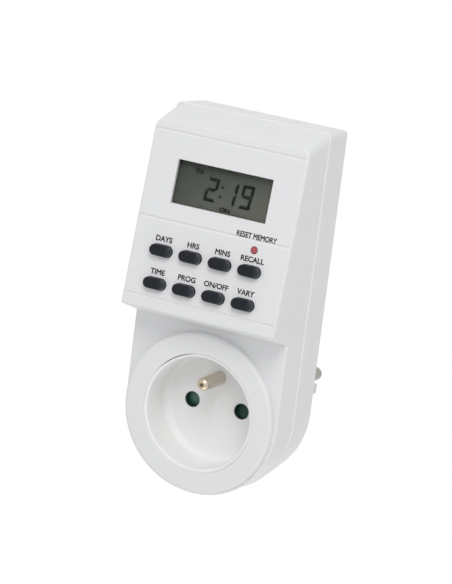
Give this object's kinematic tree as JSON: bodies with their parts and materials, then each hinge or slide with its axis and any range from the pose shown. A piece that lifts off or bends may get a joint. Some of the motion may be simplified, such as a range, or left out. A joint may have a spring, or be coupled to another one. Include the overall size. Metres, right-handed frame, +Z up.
{
  "type": "digital timer switch",
  "caption": "Plug-in digital timer with a leaning keypad and display panel above a round earthed socket, and a plug with pins on the back.",
  "frame": {"origin": "middle of the plug's face, half way between the two plug pins", "axes": "+X to the right seen from the front, +Y back along the plug pins into the outlet, +Z up"},
  "size_m": [0.0588, 0.0862, 0.1312],
  "materials": {
    "housing_white": "satin moulded",
    "socket_white": "smooth moulded",
    "key_dark": "satin",
    "reset_red": "smooth",
    "shutter_green": "satin",
    "window_clear": "clear plastic",
    "display_grey": "reflective display",
    "pin_nickel": "nickel plated",
    "contact_brass": "stamped",
    "screw_steel": "zinc plated",
    "carrier_grey": "moulded",
    "mat_grey": "moulded",
    "strip_rubber": "layered",
    "frame_black": "moulded",
    "board_green": "solder mask",
    "cell_steel": "sleeved",
    "relay_blue": "moulded",
    "film_yellow": "potted",
    "can_dark": "sleeved",
    "body_tan": "coated",
    "ribbon_grey": "flat cable"
  },
  "bodies": {
    "housing": {"front_housing": "housing_white", "rear_cover": "housing_white", "plug_boss": "housing_white", "socket_cup": "socket_white", "display_window": "window_clear", "display_panel": "display_grey", "socket_earth_pin": "pin_nickel", "line_pin": "pin_nickel", "neutral_pin": "pin_nickel", "earth_bracket": "pin_nickel", "plug_earth_sleeve": "pin_nickel", "line_contact": "contact_brass", "neutral_contact": "contact_brass", "load_strip": "contact_brass", "line_strip": "contact_brass", "neutral_strip": "contact_brass", "earth_link": "contact_brass", "housing_screws": "screw_steel", "control_board_screws": "screw_steel", "power_board_screws": "screw_steel", "shutter_spring": "screw_steel", "crystal": "screw_steel", "contact_carrier": "carrier_grey", "keypad_mat": "mat_grey", "display_contacts": "strip_rubber", "display_frame": "frame_black", "processor": "frame_black", "rectifier_diodes": "frame_black", "control_board": "board_green", "power_board": "board_green", "backup_cell": "cell_steel", "relay": "relay_blue", "varistor": "relay_blue", "film_capacitor": "film_yellow", "electrolytic_capacitor": "can_dark", "resistor": "body_tan", "fuse": "body_tan", "ribbon_cable": "ribbon_grey"},
    "day_key_body": {"day_key": "key_dark"},
    "hour_key_body": {"hour_key": "key_dark"},
    "minute_key_body": {"minute_key": "key_dark"},
    "recall_key_body": {"recall_key": "key_dark"},
    "clock_key_body": {"clock_key": "key_dark"},
    "program_key_body": {"program_key": "key_dark"},
    "mode_key_body": {"mode_key": "key_dark"},
    "random_key_body": {"random_key": "key_dark"},
    "reset_button_body": {"reset_button": "reset_red"},
    "shutter_body": {"shutter": "shutter_green"}
  },
  "joints": [
    {"name": "day_key_press", "type": "slide", "parent": "housing", "child": "day_key_body", "axis": [0, 0.986, -0.1668], "range_m": [0, 0.0008], "stiffness_N_per_m": 250},
    {"name": "hour_key_press", "type": "slide", "parent": "housing", "child": "hour_key_body", "axis": [0, 0.986, -0.1668], "range_m": [0, 0.0008], "stiffness_N_per_m": 250},
    {"name": "minute_key_press", "type": "slide", "parent": "housing", "child": "minute_key_body", "axis": [0, 0.986, -0.1668], "range_m": [0, 0.0008], "stiffness_N_per_m": 250},
    {"name": "recall_key_press", "type": "slide", "parent": "housing", "child": "recall_key_body", "axis": [0, 0.986, -0.1668], "range_m": [0, 0.0008], "stiffness_N_per_m": 250},
    {"name": "clock_key_press", "type": "slide", "parent": "housing", "child": "clock_key_body", "axis": [0, 0.986, -0.1668], "range_m": [0, 0.0008], "stiffness_N_per_m": 250},
    {"name": "program_key_press", "type": "slide", "parent": "housing", "child": "program_key_body", "axis": [0, 0.986, -0.1668], "range_m": [0, 0.0008], "stiffness_N_per_m": 250},
    {"name": "mode_key_press", "type": "slide", "parent": "housing", "child": "mode_key_body", "axis": [0, 0.986, -0.1668], "range_m": [0, 0.0008], "stiffness_N_per_m": 250},
    {"name": "random_key_press", "type": "slide", "parent": "housing", "child": "random_key_body", "axis": [0, 0.986, -0.1668], "range_m": [0, 0.0008], "stiffness_N_per_m": 250},
    {"name": "reset_button_press", "type": "slide", "parent": "housing", "child": "reset_button_body", "axis": [0, 0.986, -0.1668], "range_m": [0, 0.0008], "stiffness_N_per_m": 250},
    {"name": "shutter_turn", "type": "hinge", "parent": "housing", "child": "shutter_body", "pos_m": [0, -0.0384, -0.0025], "axis": [0, 1, 0], "range_deg": [0, 45], "stiffness_Nm_per_rad": 0.005}
  ]
}
